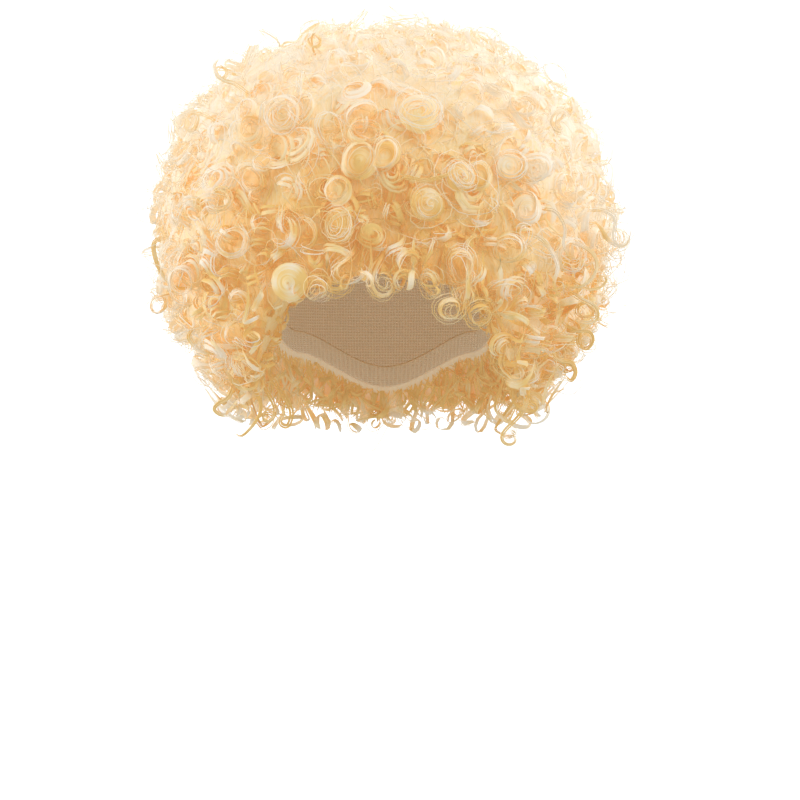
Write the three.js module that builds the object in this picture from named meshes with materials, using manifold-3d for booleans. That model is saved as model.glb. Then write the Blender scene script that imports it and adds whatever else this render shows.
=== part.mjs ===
// Curly costume wig: a stretch cap with an elastic rim band, and six panels of curls sewn over it.
// Millimetres. +Z is up, the face looks along -Y, and +X is the wearer's left side.
// The origin is the inside of the cap at the crown, where it sits on the head.
import * as THREE from "three";
import { ParametricGeometry } from "three/addons/geometries/ParametricGeometry.js";
import { mergeVertices } from "three/addons/utils/BufferGeometryUtils.js";
import Module from "manifold-3d";

const wasm = await Module();
wasm.setup();

// The head that the cap fits: an ellipsoid with its widest level below the crown.
const HEAD = { halfWidth: 76, frontDepth: 95, backDepth: 100, crownHeight: 105 };
// The stretch cap and the elastic band that ends it.
const CAP_WALL = 1.5;
const BAND = { height: 14, wall: 2 };
// The outline of the whole head of hair: an ellipsoid with a slightly squared section.
const HAIR = { halfWidth: 156, frontDepth: 146, backDepth: 174, halfHeight: 141, centreHeight: -51 };
const HAIR_SQUARENESS = 2.3;
// The share of the hair's depth that is packed hair under the loose curls.
const PACKED_SHARE = 0.84;
// The gap that neighbouring pieces keep.
const SEAM_GAP = 0.4;

// Where the cap and the hair end, as polar angles down from the crown, by azimuth from the front.
const EDGE = [
  { place: "forehead", azimuth: 0, capRim: 62, hairEnd: 99 },
  { place: "temple", azimuth: 24, capRim: 64, hairEnd: 103 },
  { place: "cheek", azimuth: 46, capRim: 74, hairEnd: 134 },
  { place: "ear", azimuth: 90, capRim: 88, hairEnd: 143 },
  { place: "behind the ear", azimuth: 130, capRim: 102, hairEnd: 147 },
  { place: "nape", azimuth: 180, capRim: 115, hairEnd: 150 },
];

// The facets of the cap, the band and the packed hair.
const AZIMUTH_STEPS = 30;
const CAP_STEPS = 7;
const BAND_STEPS = 1;
const PACKED_STEPS = 7;

// One lock: a stem out of the packed hair, then a loop.
const LOCK = { radius: 5.5, sides: 5, steps: 6, loopPoints: 6, loopTurn: 300, rise: 5 };
// Each lock is turned and tilted on from the one before it, so that no two neighbours lie alike.
const GOLDEN_TURN = 137.5;
const GOLDEN_SHARE = 0.618;
const LEAST_TILT = 10;
const MOST_TILT = 65;

// Rows of locks in each panel. edgeShare runs from 0 at the crown to 1 at the hair's end, from and to are
// azimuths, loop is the radius of the curls' loops, and overhang is how far they pass the hair's outline.
const LOCK_ROWS = [
  { panel: "crown_curls", edgeShare: 0, from: 0, to: 0, count: 1, loop: 14, overhang: 2 },
  { panel: "crown_curls", edgeShare: 0.15, from: 0, to: 300, count: 6, loop: 14, overhang: 3 },
  { panel: "crown_curls", edgeShare: 0.28, from: 15, to: 345, count: 12, loop: 13, overhang: 3 },
  { panel: "fringe_curls", edgeShare: 0.5, from: -38, to: 38, count: 4, loop: 14, overhang: 3 },
  { panel: "fringe_curls", edgeShare: 0.7, from: -41, to: 41, count: 5, loop: 13, overhang: 3 },
  { panel: "fringe_curls", edgeShare: 0.92, from: -42, to: 42, count: 6, loop: 13, overhang: 3 },
  { panel: "left_curls", edgeShare: 0.45, from: 63, to: 117, count: 3, loop: 14, overhang: 3 },
  { panel: "left_curls", edgeShare: 0.59, from: 62, to: 118, count: 4, loop: 14, overhang: 5 },
  { panel: "left_curls", edgeShare: 0.73, from: 62, to: 118, count: 4, loop: 13, overhang: 6 },
  { panel: "left_curls", edgeShare: 0.87, from: 62, to: 118, count: 4, loop: 13, overhang: 4 },
  { panel: "left_curls", edgeShare: 1, from: 62, to: 118, count: 5, loop: 12, overhang: 14 },
  { panel: "right_curls", edgeShare: 0.45, from: 243, to: 297, count: 3, loop: 14, overhang: 3 },
  { panel: "right_curls", edgeShare: 0.59, from: 242, to: 298, count: 4, loop: 14, overhang: 3 },
  { panel: "right_curls", edgeShare: 0.73, from: 242, to: 298, count: 4, loop: 13, overhang: 3 },
  { panel: "right_curls", edgeShare: 0.87, from: 242, to: 298, count: 4, loop: 13, overhang: 5 },
  { panel: "right_curls", edgeShare: 1, from: 242, to: 298, count: 5, loop: 12, overhang: 12 },
  { panel: "back_curls", edgeShare: 0.45, from: 138, to: 222, count: 4, loop: 14, overhang: 3 },
  { panel: "back_curls", edgeShare: 0.6, from: 137, to: 223, count: 5, loop: 14, overhang: 3 },
  { panel: "nape_curls", edgeShare: 0.77, from: 138, to: 222, count: 5, loop: 13, overhang: 3 },
  { panel: "nape_curls", edgeShare: 0.89, from: 136, to: 224, count: 6, loop: 13, overhang: 3 },
  { panel: "nape_curls", edgeShare: 1.01, from: 139, to: 221, count: 5, loop: 12, overhang: 9 },
];

// The partings between the panels: a cone round the crown, a cone above the nape, and upright planes.
const PARTING_CENTRE = -80;
const CROWN_PARTING = 41;
const NAPE_PARTING = 91;
const PANELS = [
  { name: "crown_curls", side: "within the crown parting", from: 0, to: 360 },
  { name: "fringe_curls", side: "outside the crown parting", from: -52, to: 52 },
  { name: "left_curls", side: "outside the crown parting", from: 52, to: 128 },
  { name: "right_curls", side: "outside the crown parting", from: 232, to: 308 },
  { name: "back_curls", side: "between the partings", from: 128, to: 232 },
  { name: "nape_curls", side: "below the nape parting", from: 128, to: 232 },
];
// Past every piece, so that a cutter of this radius reaches through.
const CUTTER_REACH = 400;
// Vertices closer than this are one vertex.
const MERGE_DISTANCE = 1e-3;

const HAIR_BLONDE = new THREE.MeshStandardMaterial({ color: "#efcf98", roughness: 0.5, metalness: 0 });
const CAP_NET = new THREE.MeshStandardMaterial({ color: "#d8bd92", roughness: 0.9, metalness: 0 });
const BAND_ELASTIC = new THREE.MeshStandardMaterial({ color: "#cbb08a", roughness: 0.8, metalness: 0 });

const radians = THREE.MathUtils.degToRad;

// A column of EDGE at any azimuth, eased between its rows; the wig's two sides are alike.
function edgeAngle(column, azimuth) {
  const turn = ((azimuth % 360) + 360) % 360;
  const fromFront = Math.min(turn, 360 - turn);
  const after = Math.max(1, EDGE.findIndex((row) => row.azimuth >= fromFront));
  const [low, high] = [EDGE[after - 1], EDGE[after]];
  const ease = THREE.MathUtils.smoothstep(fromFront, low.azimuth, high.azimuth);
  return THREE.MathUtils.lerp(low[column], high[column], ease);
}

// A point of an ellipsoid with its own depth in front and behind. A squareness of 2 is the plain ellipsoid.
function ellipsoidPoint(size, squareness, azimuth, polar) {
  const bulge = (value) => Math.sign(value) * Math.abs(value) ** (2 / squareness);
  const across = bulge(Math.sin(radians(polar)));
  const ahead = Math.cos(radians(azimuth));
  const depth = ahead > 0 ? size.frontDepth : size.backDepth;
  return new THREE.Vector3(
    size.halfWidth * across * bulge(Math.sin(radians(azimuth))),
    -depth * across * bulge(ahead),
    size.centreHeight + size.halfHeight * bulge(Math.cos(radians(polar))),
  );
}

// A point that lies an offset outside the head, at a share of the way from the crown to the cap's rim.
function headPoint(azimuth, rimShare, offset) {
  const size = {
    halfWidth: HEAD.halfWidth + offset,
    frontDepth: HEAD.frontDepth + offset,
    backDepth: HEAD.backDepth + offset,
    halfHeight: HEAD.crownHeight + offset,
    centreHeight: -HEAD.crownHeight,
  };
  return ellipsoidPoint(size, 2, azimuth, rimShare * edgeAngle("capRim", azimuth));
}

// A point of the hair: depth 0 is on the cap and depth 1 on the hair's outline.
function hairPoint(azimuth, edgeShare, depth) {
  const root = headPoint(azimuth, edgeShare, CAP_WALL + SEAM_GAP);
  const tip = ellipsoidPoint(HAIR, HAIR_SQUARENESS, azimuth, edgeShare * edgeAngle("hairEnd", azimuth));
  return root.lerp(tip, depth);
}

// The share of the way to the rim where the cap ends and the band begins, by the band's height.
function bandShare(azimuth) {
  const crownToRim = HEAD.crownHeight * radians(edgeAngle("capRim", azimuth));
  return 1 - BAND.height / crownToRim;
}

// A closed geometry as a solid, with its shared vertices merged and its collapsed faces dropped.
function solidOf(geometry) {
  const bare = new THREE.BufferGeometry().setAttribute("position", geometry.getAttribute("position"));
  bare.setIndex(geometry.index);
  const merged = mergeVertices(bare, MERGE_DISTANCE);
  const corners = merged.index.array;
  const triVerts = [];
  for (let i = 0; i < corners.length; i += 3) {
    const [a, b, c] = corners.slice(i, i + 3);
    if (a !== b && b !== c && c !== a) triVerts.push(a, b, c);
  }
  const vertProperties = merged.getAttribute("position").array;
  const mesh = new wasm.Mesh({ numProp: 3, vertProperties, triVerts: new Uint32Array(triVerts) });
  return new wasm.Manifold(mesh);
}

// A solid as a geometry that a mesh can show.
function geometryOf(solid) {
  const { vertProperties, triVerts } = solid.getMesh();
  const geometry = new THREE.BufferGeometry();
  geometry.setAttribute("position", new THREE.BufferAttribute(vertProperties, 3));
  geometry.setIndex(new THREE.BufferAttribute(triVerts, 1));
  return geometry;
}

// A wall that goes right round the head. Each ring of its section is a function of the azimuth in degrees.
function wallGeometry(rings) {
  const around = (u, v, target) => {
    const ring = rings[Math.round(v * (rings.length - 1))];
    target.copy(ring(360 * u));
  };
  return new ParametricGeometry(around, AZIMUTH_STEPS, rings.length - 1);
}

// The rings of one face of a wall: steps of them from one share to another, both ends included.
function faceRings(steps, startShare, endShare, pointAt) {
  return Array.from({ length: steps + 1 }, (_, i) => (azimuth) => {
    const share = THREE.MathUtils.lerp(startShare(azimuth), endShare(azimuth), i / steps);
    return pointAt(azimuth, share);
  });
}

const crown = () => 0;
const rim = () => 1;

// The cap: a dome from the crown to the top edge of the band.
function capGeometry() {
  const end = (azimuth) => bandShare(azimuth) - SEAM_GAP / HEAD.crownHeight;
  const inside = faceRings(CAP_STEPS, crown, end, (azimuth, share) => headPoint(azimuth, share, 0));
  const outside = faceRings(CAP_STEPS, end, crown, (azimuth, share) => headPoint(azimuth, share, CAP_WALL));
  return wallGeometry([...inside, ...outside]);
}

// The band: the same surface from there to the rim, thicker on the inside, where it grips the head.
function bandGeometry() {
  const grip = CAP_WALL - BAND.wall;
  const innerFace = (azimuth, share) => headPoint(azimuth, share, grip);
  const outerFace = (azimuth, share) => headPoint(azimuth, share, CAP_WALL);
  const inside = faceRings(BAND_STEPS, bandShare, rim, innerFace);
  const outside = faceRings(BAND_STEPS, rim, bandShare, outerFace);
  return wallGeometry([...inside, ...outside, inside[0]]);
}

// The packed hair of all the panels together, before it is parted. Its rings run the other way round from
// the cap's, so that the facets on the cap match the cap's own, and its faces are then turned to point out.
function packedHair() {
  const roots = (azimuth, share) => hairPoint(azimuth, share, 0);
  const tops = (azimuth, share) => hairPoint(azimuth, share, PACKED_SHARE);
  const outside = faceRings(PACKED_STEPS, crown, rim, tops);
  const inside = [
    ...faceRings(BAND_STEPS, rim, bandShare, roots),
    ...faceRings(CAP_STEPS, bandShare, crown, roots).slice(1),
  ];
  const geometry = wallGeometry([...outside, ...inside]);
  geometry.index.array.reverse();
  return solidOf(geometry);
}

// One curl: its stem starts in the packed hair, and its loop reaches the hair's outline.
function lockSolid({ azimuth, edgeShare, loop, overhang, number }) {
  const root = hairPoint(azimuth, edgeShare, PACKED_SHARE / 2);
  const tip = hairPoint(azimuth, edgeShare, 1);
  const outward = tip.clone().sub(root).normalize();
  const sideways = new THREE.Vector3(Math.cos(radians(azimuth)), Math.sin(radians(azimuth)), 0);
  sideways.addScaledVector(outward, -sideways.dot(outward)).normalize();
  const upward = new THREE.Vector3().crossVectors(outward, sideways);

  const roll = radians(number * GOLDEN_TURN);
  const tilt = radians(THREE.MathUtils.lerp(LEAST_TILT, MOST_TILT, (number * GOLDEN_SHARE) % 1));
  const lean = sideways.multiplyScalar(Math.cos(roll)).addScaledVector(upward, Math.sin(roll));
  const axis = outward.clone().multiplyScalar(Math.cos(tilt)).addScaledVector(lean, Math.sin(tilt));
  const reach = loop * Math.sin(tilt) + (LOCK.rise / 2) * Math.cos(tilt) + LOCK.radius - overhang;
  const centre = tip.clone().addScaledVector(outward, -reach);

  // The loop starts at its point nearest the roots.
  const start = root.clone().sub(centre);
  start.addScaledVector(axis, -start.dot(axis)).normalize();
  const across = new THREE.Vector3().crossVectors(axis, start);
  const points = [root];
  for (let i = 0; i < LOCK.loopPoints; i++) {
    const share = i / (LOCK.loopPoints - 1);
    const turn = radians(LOCK.loopTurn * share);
    const point = centre.clone().addScaledVector(axis, LOCK.rise * (share - 0.5));
    point.addScaledVector(start, loop * Math.cos(turn)).addScaledVector(across, loop * Math.sin(turn));
    points.push(point);
  }
  const corners = Array.from({ length: LOCK.sides }, (_, i) => {
    const angle = (2 * Math.PI * i) / LOCK.sides;
    return new THREE.Vector2(LOCK.radius * Math.cos(angle), LOCK.radius * Math.sin(angle));
  });
  const extrudePath = new THREE.CatmullRomCurve3(points);
  const section = new THREE.Shape(corners);
  return solidOf(new THREE.ExtrudeGeometry(section, { steps: LOCK.steps, extrudePath, bevelEnabled: false }));
}

// Every lock of every row, numbered through.
const LOCKS = LOCK_ROWS.flatMap((row) =>
  Array.from({ length: row.count }, (_, i) => {
    const share = row.count > 1 ? i / (row.count - 1) : 0;
    return { ...row, azimuth: THREE.MathUtils.lerp(row.from, row.to, share) };
  }),
).map((lock, number) => ({ ...lock, number }));

// A solid cone round the crown, open upwards, with its side a clearance away from the parting.
function partingCone(halfAngle, clearance) {
  const angle = radians(halfAngle);
  const apex = PARTING_CENTRE + clearance / Math.sin(angle);
  const profile = [
    new THREE.Vector2(0, apex),
    new THREE.Vector2(CUTTER_REACH * Math.sin(angle), apex + CUTTER_REACH * Math.cos(angle)),
    new THREE.Vector2(0, apex + CUTTER_REACH),
  ];
  return solidOf(new THREE.LatheGeometry(profile, AZIMUTH_STEPS).rotateX(Math.PI / 2));
}

// An upright wedge between two azimuths, kept a clearance away from both.
function partingWedge(from, to, clearance) {
  const [start, middle, end] = [from, (from + to) / 2, to].map(radians);
  const back = clearance / Math.sin((end - start) / 2);
  const towards = (angle, distance) => [distance * Math.sin(angle), -distance * Math.cos(angle)];
  const [apexX, apexY] = towards(middle, back);
  const outline = new THREE.Shape([
    new THREE.Vector2(apexX, apexY),
    ...[start, middle, end].map((angle) => {
      const [x, y] = towards(angle, CUTTER_REACH);
      return new THREE.Vector2(apexX + x, apexY + y);
    }),
  ]);
  const options = { depth: 2 * CUTTER_REACH, bevelEnabled: false };
  return solidOf(new THREE.ExtrudeGeometry(outline, options).translate(0, 0, -CUTTER_REACH));
}

// What is cut away from, or kept for, each panel.
function cutToPanel(solid, { side, from, to }) {
  const half = SEAM_GAP / 2;
  if (side === "within the crown parting") return solid.intersect(partingCone(CROWN_PARTING, half));
  const sector = solid.intersect(partingWedge(from, to, half)).subtract(partingCone(CROWN_PARTING, -half));
  if (side === "between the partings") return sector.intersect(partingCone(NAPE_PARTING, half));
  if (side === "below the nape parting") return sector.subtract(partingCone(NAPE_PARTING, -half));
  return sector;
}

// A panel: its share of the packed hair with its locks fused on. A tip that a parting cuts loose is dropped.
function panelGeometry(packed, panel) {
  const locks = LOCKS.filter((lock) => lock.panel === panel.name);
  const fused = locks.reduce((made, lock) => made.add(lockSolid(lock)), packed);
  const bodies = cutToPanel(fused, panel).decompose();
  return geometryOf(bodies.reduce((largest, body) => (body.volume() > largest.volume() ? body : largest)));
}

function named(name, geometry, material) {
  const mesh = new THREE.Mesh(geometry, material);
  mesh.name = name;
  return mesh;
}

const wig = new THREE.Group();
wig.name = "curly_costume_wig";
wig.add(named("cap", capGeometry(), CAP_NET));
wig.add(named("rim_band", bandGeometry(), BAND_ELASTIC));
const packed = packedHair();
PANELS.forEach((panel) => wig.add(named(panel.name, panelGeometry(packed, panel), HAIR_BLONDE)));

export default wig;
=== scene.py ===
# %% [markdown]
# # A curly costume wig
# This lesson dresses a packed wig: a stretch cap, an elastic band along the cap's rim, and six panels of
# curls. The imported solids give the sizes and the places. Blender adds what they can't show: thousands of
# fine curled fibres, the net of the cap, the weave of the band, and a studio to see them in.

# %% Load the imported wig
from types import SimpleNamespace

import bmesh
import bpy
import numpy as np
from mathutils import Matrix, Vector, noise


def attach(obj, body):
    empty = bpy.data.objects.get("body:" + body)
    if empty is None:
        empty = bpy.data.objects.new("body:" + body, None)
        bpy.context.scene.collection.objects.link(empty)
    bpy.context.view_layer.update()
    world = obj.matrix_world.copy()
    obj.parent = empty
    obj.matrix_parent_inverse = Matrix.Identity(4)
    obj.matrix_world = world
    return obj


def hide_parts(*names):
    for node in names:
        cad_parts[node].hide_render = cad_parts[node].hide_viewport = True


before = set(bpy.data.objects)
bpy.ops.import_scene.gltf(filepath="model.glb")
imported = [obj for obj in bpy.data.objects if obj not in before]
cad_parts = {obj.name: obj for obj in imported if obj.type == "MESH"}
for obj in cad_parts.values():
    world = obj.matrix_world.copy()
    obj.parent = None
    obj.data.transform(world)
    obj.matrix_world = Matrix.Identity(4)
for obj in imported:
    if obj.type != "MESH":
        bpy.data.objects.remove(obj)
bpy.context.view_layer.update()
print("packed nodes:", ", ".join(sorted(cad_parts)))

# %% [markdown]
# ## The shapes that the hair follows
# The hair grows from a cap and ends on a round outline. Both are ellipsoids, the outline a slightly squared
# one, and each has its own depth in front and behind. They could be meshes with particles on them, but a
# formula gives any point between the two, which a mesh doesn't. A place in the hair has an azimuth from the
# front, a share of the way down from the crown to the hair's end, and a depth from 0 on the cap to 1 on the
# outline. Every function takes whole arrays, so that thousands of locks are worked out in one go.

# %% Sizes of the cap and of the hair, in millimetres
MM = 0.001
CAP = {"half_width": 76.0, "front": 95.0, "back": 100.0, "half_height": 105.0, "centre_height": -105.0}
HAIR = {"half_width": 156.0, "front": 146.0, "back": 174.0, "half_height": 141.0, "centre_height": -51.0}
CAP_SQUARENESS = 2.0
HAIR_SQUARENESS = 2.3
CAP_WALL = 1.5
# Where the cap and the hair end, as angles down from the crown, from the front round to the nape.
EDGE_AZIMUTH = np.array([0.0, 24.0, 46.0, 90.0, 130.0, 180.0])
CAP_RIM = np.array([62.0, 64.0, 74.0, 88.0, 102.0, 115.0])
HAIR_END = np.array([99.0, 103.0, 134.0, 143.0, 147.0, 150.0])
print("the hair is", 2.0 * HAIR["half_width"], "mm wide and", HAIR["front"] + HAIR["back"], "mm deep")

# %% Points on the cap and in the hair
TINY = 1e-9


def smooth_step(share):
    held = np.clip(share, 0.0, 1.0)
    return held * held * (3.0 - 2.0 * held)


def unit(vectors):
    lengths = np.linalg.norm(vectors, axis=-1, keepdims=True)
    return vectors / np.maximum(lengths, TINY)


def angle_from_front(azimuth):
    """How far an azimuth lies from the front, to either side, in degrees."""
    return np.abs((azimuth + 180.0) % 360.0 - 180.0)


def edge_angle(angles, azimuth):
    """An end angle at any azimuth, eased between the places where it is known; both sides are alike."""
    aside = angle_from_front(azimuth)
    row = np.clip(np.searchsorted(EDGE_AZIMUTH, aside, side="right") - 1, 0, len(angles) - 2)
    share = (aside - EDGE_AZIMUTH[row]) / (EDGE_AZIMUTH[row + 1] - EDGE_AZIMUTH[row])
    return angles[row] + (angles[row + 1] - angles[row]) * smooth_step(share)


def ellipsoid_point(size, squareness, azimuth, polar, offset=0.0):
    def bulge(value):
        return np.sign(value) * np.abs(value) ** (2.0 / squareness)

    across = bulge(np.sin(np.radians(polar)))
    ahead = np.cos(np.radians(azimuth))
    depth = np.where(ahead > 0.0, size["front"], size["back"]) + offset
    x = (size["half_width"] + offset) * across * bulge(np.sin(np.radians(azimuth)))
    y = -depth * across * bulge(ahead)
    z = size["centre_height"] + (size["half_height"] + offset) * bulge(np.cos(np.radians(polar)))
    return np.stack(np.broadcast_arrays(x, y, z), axis=-1)


def cap_point(azimuth, share, offset):
    return ellipsoid_point(CAP, CAP_SQUARENESS, azimuth, share * edge_angle(CAP_RIM, azimuth), offset)


def hair_point(azimuth, share, depth):
    root = cap_point(azimuth, share, CAP_WALL)
    tip = ellipsoid_point(HAIR, HAIR_SQUARENESS, azimuth, share * edge_angle(HAIR_END, azimuth))
    return root + (tip - root) * np.asarray(depth)[..., None]


print("the fringe ends at", np.round(hair_point(0.0, 1.0, 1.0), 1), "mm")

# %% [markdown]
# ## From the photo to the hair
# Some curls stand out in the photo. They could be placed by eye, but to put them exactly where they are
# seen, a pixel is followed from the camera to the front of the hair. The camera looks level along y, and
# the crown's pixel and a scale fix the rest. The nearer the hair comes, the fewer millimetres a pixel spans,
# so the place is found in a few rounds.

# %% The place in the hair that a pixel shows
PHOTO_SIDE = 800
MM_PER_PIXEL = 0.65
CROWN_PIXEL = (385.0, 156.0)
CAMERA_DISTANCE = 2.0
PIXEL_ROUNDS = 6


def pixel_place(column, row):
    """Where a pixel lies in the upright plane through the crown, in metres: x and z."""
    return (column - CROWN_PIXEL[0]) * MM_PER_PIXEL * MM, (CROWN_PIXEL[1] - row) * MM_PER_PIXEL * MM


PHOTO_MIDDLE = pixel_place(PHOTO_SIDE / 2, PHOTO_SIDE / 2)


def seen_at(flat, y):
    """The x and the z, in millimetres, of what is seen at a flat place and lies at y."""
    nearer = 1.0 + y * MM / CAMERA_DISTANCE
    return [(middle + (side - middle) * nearer) / MM for middle, side in zip(PHOTO_MIDDLE, flat)]


def hair_under_pixel(column, row):
    """The azimuth, the share and the depth of the place on the hair's front that a pixel shows."""
    flat = pixel_place(np.asarray(column, dtype=float), np.asarray(row, dtype=float))
    y = np.full_like(flat[0], -HAIR["front"])
    for _ in range(PIXEL_ROUNDS):
        x, z = seen_at(flat, y)
        z = z - HAIR["centre_height"]
        wide = np.abs(x / HAIR["half_width"]) ** HAIR_SQUARENESS
        high = np.abs(z / HAIR["half_height"]) ** HAIR_SQUARENESS
        ahead = np.maximum(1.0 - wide - high, 0.0)
        y = -HAIR["front"] * ahead ** (1.0 / HAIR_SQUARENESS)
    whole = np.maximum(wide + high, 1.0)
    azimuth = np.degrees(np.arctan2(np.sign(x) * np.sqrt(wide), np.sqrt(ahead)))
    polar = np.degrees(np.arccos(np.sign(z) * np.sqrt(high / whole)))
    return azimuth, polar / edge_angle(HAIR_END, azimuth), whole ** (1.0 / HAIR_SQUARENESS)


crown_place = hair_under_pixel(*CROWN_PIXEL)
print("the crown's pixel shows azimuth, share and depth", np.round(crown_place, 2))

# %% [markdown]
# ## Where the locks grow
# Locks that are scattered blindly clump together and leave bald spots. So many more places are drawn than
# are needed, and each is kept only if no kept one is near. The underside, between the cap's rim and the
# hair's end, gets its own locks, because it shows from the front and from below. The edge of the fringe gets
# none of the scattered ones: it has its own curls later.

# %% Evenly spread places
SMALL_STEP = 0.01
FRINGE_KEPT = 0.99
FRINGE_SIDE = 42.0


def even_places(point_at, first, second, spacing, seed, tries=9000):
    """Places with about the same space round each, as pairs of numbers that point_at understands."""
    draw = np.random.default_rng(seed)
    a = draw.uniform(*first, tries)
    b = draw.uniform(*second, tries)
    points = point_at(a, b)
    sideways = point_at(a + SMALL_STEP * np.ptp(first), b) - points
    downwards = point_at(a, b + SMALL_STEP * np.ptp(second)) - points
    area = np.linalg.norm(np.cross(sideways, downwards), axis=1)
    order = np.flatnonzero(draw.uniform(0.0, area.max(), tries) < area)
    kept = [order[0]]
    for i in order[1:]:
        if np.min(np.sum((points[kept] - points[i]) ** 2, axis=1)) > spacing**2:
            kept.append(i)
    return a[kept], b[kept]


def outline_at(azimuth, share):
    return hair_point(azimuth, share, 1.0)


def underside_at(azimuth, depth):
    return hair_point(azimuth, np.ones_like(azimuth), depth)


def off_the_fringe_edge(azimuth, share):
    """The places without those at the very edge of the fringe."""
    kept = (share < FRINGE_KEPT) | (angle_from_front(azimuth) > FRINGE_SIDE)
    return azimuth[kept], share[kept]


# %% [markdown]
# ## One curl
# A curl of a wig is a flat ribbon of fibres that was set round a rod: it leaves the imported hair, winds up
# and ends in a ring. It could be a spiral curve for each lock, but then no two of them should look alike,
# and drawing their numbers at random does that. Here it is a line from its root to its ring, with a turning
# offset that grows on the way out and shrinks towards the tip. A disc winds inwards like a snail with its
# ribbon laid flat, a plate is a disc without a stem, a ring keeps its hole, and a hook lies on its side and
# makes the loops along the outline.

# %% Kinds of curl
# facing is 1 where the curl's axis points out of the hair and 0 where it lies along it. tilt turns the
# ribbon's flat side towards the axis, in degrees, and shrink is how much of its radius the curl loses. rise
# is the share of the ribbon that makes the stem, and the ribbon starts at the share start.
KINDS = {
    "disc": {
        "facing": 1.0, "loop": (8.0, 13.0), "turns": (1.8, 2.4), "tilt": (45.0, 65.0),
        "shrink": (0.6, 0.85), "rise": 0.2, "start": 0.0, "steps": 25,
    },
    "plate": {
        "facing": 1.0, "loop": (5.0, 6.0), "turns": (1.3, 1.4), "tilt": (66.0, 72.0),
        "shrink": (0.0, 0.0), "rise": 0.02, "start": 0.05, "steps": 24,
    },
    "ring": {
        "facing": 1.0, "loop": (6.0, 11.0), "turns": (1.1, 1.9), "tilt": (5.0, 35.0),
        "shrink": (0.15, 0.45), "rise": 0.3, "start": 0.0, "steps": 18,
    },
    "hook": {
        "facing": 0.0, "loop": (5.0, 9.0), "turns": (0.9, 1.6), "tilt": (-15.0, 15.0),
        "shrink": (0.2, 0.6), "rise": 0.4, "start": 0.0, "steps": 13,
    },
}
print("kinds of curl:", ", ".join(KINDS))

# %% Draw curls of one kind
LEAN = 0.6
LEAN_TOWARD = 0.2
LOOP_THICKNESS = 3.0
DRIFT = (-5.0, 5.0)
DOME = (-0.2, 0.5)
DROOP = (0.0, 3.0)
OVAL = (0.0, 0.3)
TONE_SPREAD = 0.07


def make_curls(kind, base, tip, rng, sink, tone, size=1.0, toward=None):
    """Curls of one kind from base towards tip, sunk that deep, and turned outwards or toward."""
    shape = KINDS[kind]
    count = len(base)
    outward = unit(tip - base) if toward is None else toward
    sideways = unit(np.cross(outward, rng.normal(size=(count, 3))))
    lean = (LEAN if toward is None else LEAN_TOWARD) * rng.normal(size=(count, 3))
    axis = unit(shape["facing"] * outward + (1.0 - shape["facing"]) * sideways + lean)
    radius = rng.uniform(*shape["loop"], count) * size
    facing = np.abs(np.sum(axis * outward, axis=1))
    reach = radius * np.sqrt(1.0 - facing**2) + LOOP_THICKNESS * facing
    centre = tip - outward * (reach + rng.uniform(*sink, count))[:, None]
    across = unit(np.cross(axis, unit(rng.normal(size=(count, 3)))))
    return SimpleNamespace(
        base=base, centre=centre, axis=axis, across=across, forward=np.cross(axis, across), radius=radius,
        turns=rng.uniform(*shape["turns"], count) * rng.choice([-1.0, 1.0], count),
        tilt=np.radians(rng.uniform(*shape["tilt"], count)), shrink=rng.uniform(*shape["shrink"], count),
        drift=rng.uniform(*DRIFT, count), dome=rng.uniform(*DOME, count), droop=rng.uniform(*DROOP, count),
        tone=tone + rng.normal(0.0, TONE_SPREAD, count), oval=rng.uniform(*OVAL, count),
        turned=rng.uniform(0.0, 2.0 * np.pi, count),
        rise=shape["rise"], start=shape["start"], steps=shape["steps"],
    )


# %% The lines that the fibres of a curl follow
FIBRE_SHARE = (0.85, 1.0)
LANE_SPREAD = 0.4
GATHERED = 0.4
SPREAD_BY = 0.35
CLOSED_OVER = 0.25
OVAL_TURNS = 1.8
WANDER_WAVES = (1.3, 2.9)


def gather(t):
    """How far the fibres spread: little at the root, fully along the loop, and less at the tip."""
    closed = smooth_step((t - (1.0 - CLOSED_OVER)) / CLOSED_OVER)
    return GATHERED + (1.0 - GATHERED) * smooth_step(t / SPREAD_BY) - GATHERED * closed


def curl_paths(curls, owner, lane, rng, loop_spread, wander):
    """The middle lines of fibres, each in its lane, the way that they face, and the way along."""
    count = len(owner)

    def per_line(values):
        return values[owner][:, None]

    t = np.linspace(curls.start, 1.0, curls.steps + 1)[None, :] * rng.uniform(*FIBRE_SHARE, count)[:, None]
    wound = np.clip((t - curls.rise) / (1.0 - curls.rise), 0.0, 1.0)
    shrink = 1.0 - per_line(curls.shrink) * wound
    side = (lane + rng.normal(0.0, LANE_SPREAD, count))[:, None] * gather(t)
    swell = rng.normal(0.0, 1.0, count)[:, None] * loop_spread * gather(t)
    angle = 2.0 * np.pi * per_line(curls.turns) * t
    radial = (
        np.cos(angle)[..., None] * curls.across[owner][:, None, :]
        + np.sin(angle)[..., None] * curls.forward[owner][:, None, :]
    )
    axis = curls.axis[owner][:, None, :]
    lean_in = np.sin(per_line(curls.tilt))
    lean_out = np.cos(per_line(curls.tilt))
    oval = 1.0 + per_line(curls.oval) * np.cos(OVAL_TURNS * angle + per_line(curls.turned))
    out = smooth_step(t / curls.rise)
    reach = per_line(curls.radius) * out * shrink * oval + swell - side * lean_in
    rise = per_line(curls.drift) * (t - curls.rise) + side * lean_out
    rise = rise + per_line(curls.dome * curls.radius) * (1.0 - shrink)
    path = curls.base[owner][:, None, :] + (curls.centre - curls.base)[owner][:, None, :] * out[..., None]
    path = path + axis * rise[..., None] + radial * reach[..., None]
    path[..., 2] -= per_line(curls.droop) * t**2
    for waves in WANDER_WAVES:
        sway = rng.normal(0.0, wander / waves, (count, 1, 3))
        path = path + sway * np.sin(2.0 * np.pi * (waves * t + rng.random((count, 1))))[..., None]
    facing = radial * lean_out[..., None] + axis * lean_in[..., None]
    return path, facing, t


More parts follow.
